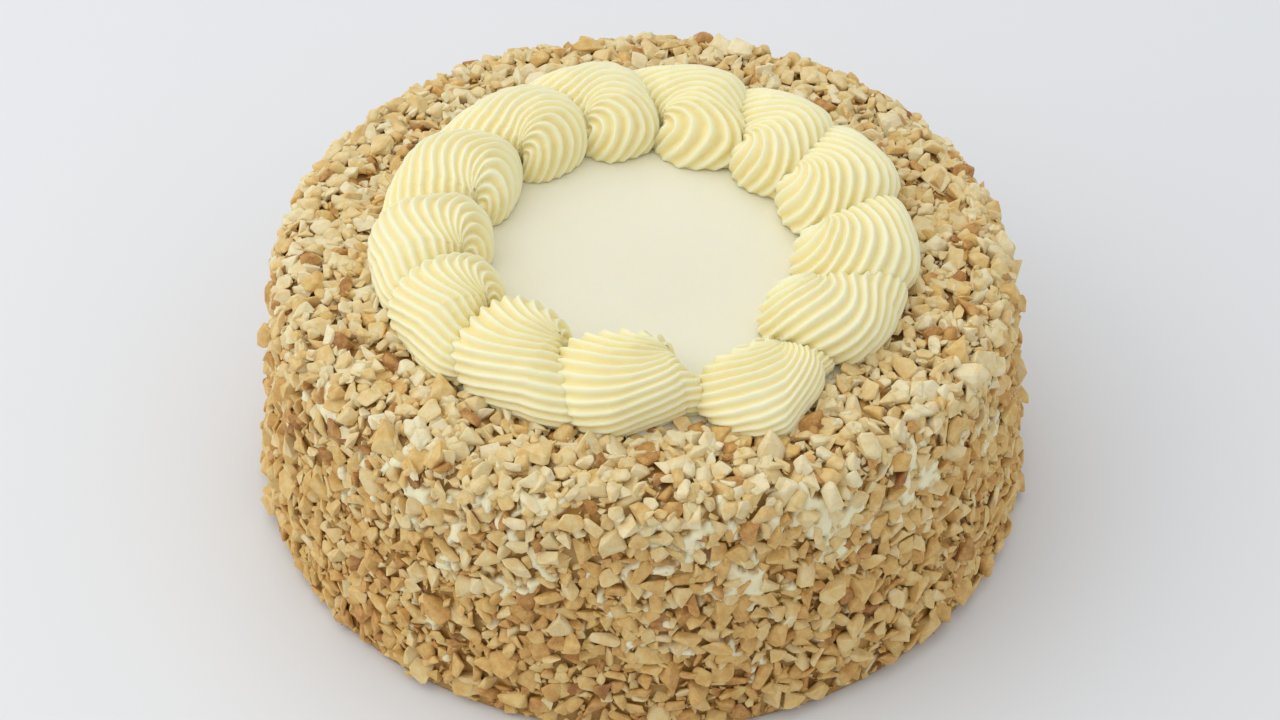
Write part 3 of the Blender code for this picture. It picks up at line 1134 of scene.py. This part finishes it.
@dataclass(frozen=True)
class NutScatter:
    """Chopped nuts over the side, rim and top edge; lengths in millimetres.

    Attributes:
        classes: Least size, greatest size and wanted number of each class, largest first.
        draws: Places drawn for each wanted nut.
        rest: Least height of a nut's middle, as a share of its size.
        lift, tilt: How far a nut stands out, as a share of its size, and its lean in radians.
        toasted, unlike: Share of nuts that are toasted, and that are toasted or paler than the mean.
        loose: Number of nuts that lie on the others, with the sizes, lift, tilt and place named alike.
    """

    line: CoatLine = field(default_factory=CoatLine)
    seed: int = 7
    tree_seed: int = 50
    classes: tuple[tuple[float, float, int], ...] = (
        (7.6, 10.5, 480), (5.6, 7.6, 2500), (3.9, 5.6, 4200), (2.5, 3.9, 5200), (1.4, 2.4, 7500),
    )
    draws: int = 3
    inner_radius: float = 70.0
    foot_height: float = 1.2
    rest: float = 0.6
    lift: tuple[float, float] = (-0.04, 0.22)
    tilt: float = 0.45
    crumb_size: float = 2.45
    bit_size: float = 3.9
    top_level: float = 66.0
    side_level: float = 34.0
    # Mean tone by height: paler on the lit top and browner down the side, painted light and shade.
    tones_with_painted_light: Table = ((0, 0.57), (20, 0.55), (55, 0.5), (70, 0.34), (76, 0.28))
    toasted: float = 0.07
    unlike: float = 0.24
    loose: int = 1200
    loose_sizes: tuple[float, float] = (3.4, 7.0)
    loose_lift: tuple[float, float] = (0.9, 1.9)
    loose_tilt: float = 0.6
    loose_height: float = 69.0
    loose_radius: float = 74.0

    def tone(self, rng: np.random.Generator, height: float) -> float:
        """Draws the tone of a nut.

        Args:
            rng: Random source.
            height: Height at which it lies.

        Returns:
            A tone from 0, whitish, to 1, brown.
        """
        # Painted light: the mean tone is paler towards the lit top and browner down the shaded side.
        middle = float(look_up(self.tones_with_painted_light, height))
        draw = rng.random()
        if draw < self.toasted:
            return float(np.clip(rng.normal(0.8, 0.08), 0, 1))
        if draw < self.unlike:
            return float(np.clip(middle - 0.2 + rng.normal(0, 0.05), 0, 1))
        return float(np.clip(rng.normal(middle, 0.11), 0, 1))

    def kind(self, size: float, height: float) -> NutKind:
        """Tells the kind of a nut.

        Args:
            size: Its size.
            height: Height at which it lies.

        Returns:
            The kind.
        """
        if size < self.crumb_size:
            return NutKind.CRUMB
        if size < self.bit_size:
            return NutKind.BIT
        if height > self.top_level:
            return NutKind.CHIP_TOP
        return NutKind.CHIP_SIDE if height > self.side_level else NutKind.CHIP_FOOT

    def throw(self) -> dict[NutKind, Spots]:
        """Spreads the nuts, largest first, each clear of those that already lie.

        Returns:
            The spots of each kind.
        """
        rng = np.random.default_rng(self.seed)
        line = self.line.points(0.5)
        out = self.line.outward(line)
        weight = line[:, 0].copy()
        weight[line[:, 0] < self.inner_radius] = 0.0
        weight[line[:, 1] < self.foot_height] = 0.0
        weight /= weight.sum()
        packing = Packing()
        kinds = {kind: Spots() for kind in NutKind}
        for low, high, wanted in self.classes:
            picks = rng.choice(len(line), size=wanted * self.draws, p=weight)
            turns = rng.uniform(0, 2 * math.pi, wanted * self.draws)
            taken = 0
            for pick, turn in zip(picks, turns):
                if taken >= wanted:
                    break
                size = float(rng.uniform(low, high))
                radius, height = line[pick]
                height = max(height, self.rest * size)
                way = np.array([math.cos(turn), math.sin(turn)])
                place = np.array([*(way * radius), height])
                if not packing.has_room(place, size):
                    continue
                taken += 1
                packing.add(place, size)
                outward = np.array([*(way * out[pick][0]), out[pick][1]])
                lift = size * rng.uniform(*self.lift)
                tilt = rng.normal(0, self.tilt)
                tone = self.tone(rng, height)
                kinds[self.kind(size, height)].add(place + outward * lift, outward, size, tilt, tone)
            LOG.info("nuts from %.1f to %.1f mm: %d", low, high, taken)
        self.pile(rng, kinds[NutKind.CHIP_TOP], line, out)
        return kinds

    def pile(self, rng: np.random.Generator, spots: Spots, line: np.ndarray, out: np.ndarray) -> None:
        """Adds nuts that lie on the others, on the rim and top.

        Args:
            rng: Random source.
            spots: The spots that they are added to.
            line: Points of the coat's section.
            out: Outward directions of the section.
        """
        high = np.flatnonzero((line[:, 1] > self.loose_height) & (line[:, 0] > self.loose_radius))
        for _ in range(self.loose):
            pick = int(rng.choice(high))
            turn = rng.uniform(0, 2 * math.pi)
            way = np.array([math.cos(turn), math.sin(turn)])
            size = float(rng.uniform(*self.loose_sizes))
            outward = np.array([*(way * out[pick][0]), out[pick][1]])
            lift = rng.uniform(*self.loose_lift)
            place = np.array([*(way * line[pick][0]), line[pick][1]]) + outward * lift
            spots.add(place, outward, size, rng.normal(0, self.loose_tilt), self.tone(rng, place[2]))

    def piece(self, kind: NutKind, spots: Spots, seed: int, material: Material) -> Object:
        """Builds and dresses the nuts of one kind as a plain mesh.

        Args:
            kind: The kind.
            spots: Its spots.
            seed: Seed of its node tree.
            material: Finish of the nuts.

        Returns:
            The piece.
        """
        shelf = NUT_SHAPES[kind].build(f"{kind.value}_shapes")
        carrier = spots.mesh(f"{kind.value}_spots")
        modifier = carrier.modifiers.new("scatter", "NODES")
        modifier.node_group = ScatterTree(f"{kind.value}_scatter").build()
        values = {"Shapes": shelf, "Shape Count": len(shelf.objects) - 1, "Seed": seed, "Finish": material}
        for entry in modifier.node_group.interface.items_tree:
            if entry.name in values and entry.in_out == "INPUT":
                modifier[entry.identifier] = values[entry.name]
        view = bpy.context.evaluated_depsgraph_get()
        source = carrier.evaluated_get(view)
        mesh = bpy.data.meshes.new_from_object(source, preserve_all_data_layers=True, depsgraph=view)
        mesh.name = kind.value
        for label in ("outward", "size", "tilt"):
            layer = mesh.attributes.get(label)
            if layer:
                mesh.attributes.remove(layer)
        item = add_object(kind.value, mesh)
        bpy.data.objects.remove(carrier)
        for shape in list(shelf.objects):
            bpy.data.objects.remove(shape)
        bpy.data.collections.remove(shelf)
        dress(item, material)
        return item

    def build(self, material: Material) -> list[Object]:
        """Builds and dresses the nuts, one piece for each kind."""
        kinds = enumerate(self.throw().items(), self.tree_seed)
        return [self.piece(kind, spots, seed, material) for seed, (kind, spots) in kinds]



# Studio and camera


@dataclass(frozen=True)
class Lamp:
    """A square lamp that looks at the cake; lengths in metres, power in watts."""

    name: str
    place: tuple[float, float, float]
    size: float
    power: float
    colour: tuple[float, float, float]
    target: tuple[float, float, float] = (0.0, 0.0, 0.05)

    def build(self) -> None:
        """Adds the lamp to the scene."""
        data = bpy.data.lights.new(self.name, "AREA")
        data.size = self.size
        data.energy = self.power
        data.color = self.colour
        item = bpy.data.objects.new(self.name, data)
        item.location = self.place
        item.rotation_euler = (Vector(self.target) - Vector(self.place)).to_track_quat("-Z", "Y").to_euler()
        bpy.context.scene.collection.objects.link(item)


@dataclass(frozen=True)
class Studio:
    """Plain pale floor and soft daylight; lengths in metres."""

    floor_size: float = 6.0
    floor_level: float = -0.0005
    floor_colour: Colour = rgb(0.8, 0.81, 0.83)
    floor_roughness: float = 0.8
    sky: Colour = rgb(0.93, 0.96, 1.0)
    sky_strength: float = 0.6
    lamps: tuple[Lamp, ...] = (
        Lamp("window", (-0.45, 0.5, 1.45), 2.2, 11.3, (1.0, 0.99, 0.96)),
        Lamp("room_left", (-1.0, -0.35, 0.7), 1.2, 4.4, (1.0, 0.98, 0.94)),
        Lamp("room_right", (0.8, -0.6, 1.0), 1.4, 1.76, (1.0, 0.97, 0.92)),
    )

    def build_floor(self) -> None:
        """Builds the floor as a stage."""
        half = self.floor_size / 2
        corners = [(x * half, y * half, self.floor_level) for x, y in ((-1, -1), (1, -1), (1, 1), (-1, 1))]
        mesh = bpy.data.meshes.new("floor")
        mesh.from_pydata(corners, [], [(0, 1, 2, 3)])
        floor = add_object("floor", mesh)
        paint = bpy.data.materials.new("floor")
        paint.use_nodes = True
        shader = paint.node_tree.nodes["Principled BSDF"]
        shader.inputs["Base Color"].default_value = self.floor_colour
        shader.inputs["Roughness"].default_value = self.floor_roughness
        mesh.materials.append(paint)

    def build(self) -> None:
        """Builds the floor, the sky and the lamps, and sets the view transform."""
        self.build_floor()
        world = bpy.data.worlds.new("daylight")
        world.use_nodes = True
        sky = world.node_tree.nodes["Background"]
        sky.inputs["Color"].default_value = self.sky
        sky.inputs["Strength"].default_value = self.sky_strength
        bpy.context.scene.world = world
        for lamp in self.lamps:
            lamp.build()
        bpy.context.scene.view_settings.view_transform = "Standard"
        LOG.info("studio: floor, sky and %d lamps", len(self.lamps))


@dataclass(frozen=True)
class PhotoCamera:
    """Camera at the photo's place, in metres; lens and sensor in millimetres."""

    place: tuple[float, float, float] = (-0.00089, -0.62498, 0.60961)
    target: tuple[float, float, float] = (-0.00089, 0.03712, 0.0)
    lens: float = 85.53
    sensor: float = 36.0
    nearest: float = 0.01

    def build(self) -> None:
        """Builds the camera and makes it the scene's."""
        data = bpy.data.cameras.new("photo_camera")
        data.lens = self.lens
        data.sensor_width = self.sensor
        data.clip_start = self.nearest
        item = bpy.data.objects.new("photo_camera", data)
        item.location = self.place
        item.rotation_euler = (Vector(self.target) - Vector(self.place)).to_track_quat("-Z", "Y").to_euler()
        bpy.context.scene.collection.objects.link(item)
        bpy.context.scene.camera = item
        LOG.info("camera: lens %.1f mm", self.lens)


def main() -> None:
    """Builds the camera, the studio and every piece of the cake."""
    logging.basicConfig(level=logging.INFO, format="%(message)s")
    PhotoCamera().build()
    Studio().build()
    cream = cream_group()
    nuts = NutFinish().material(nut_group())
    piped = PIPED_CREAM.material(cream)
    SmoothDisc().build(SMOOTH_CREAM.material(cream))
    CreamCoat().build(COAT_CREAM.material(cream))
    for index, angle in enumerate(TURN_ANGLES):
        pitch = (angle - TURN_ANGLES[(index + 1) % len(TURN_ANGLES)]) % 360.0
        own = {"stretch": (pitch * len(TURN_ANGLES) / 360.0) ** 0.9, **HAND_WORK[index + 1]}
        PipedSwirl(index + 1, angle, **own).build(piped)
    NutScatter().build(nuts)


if __name__ == "__main__":
    main()
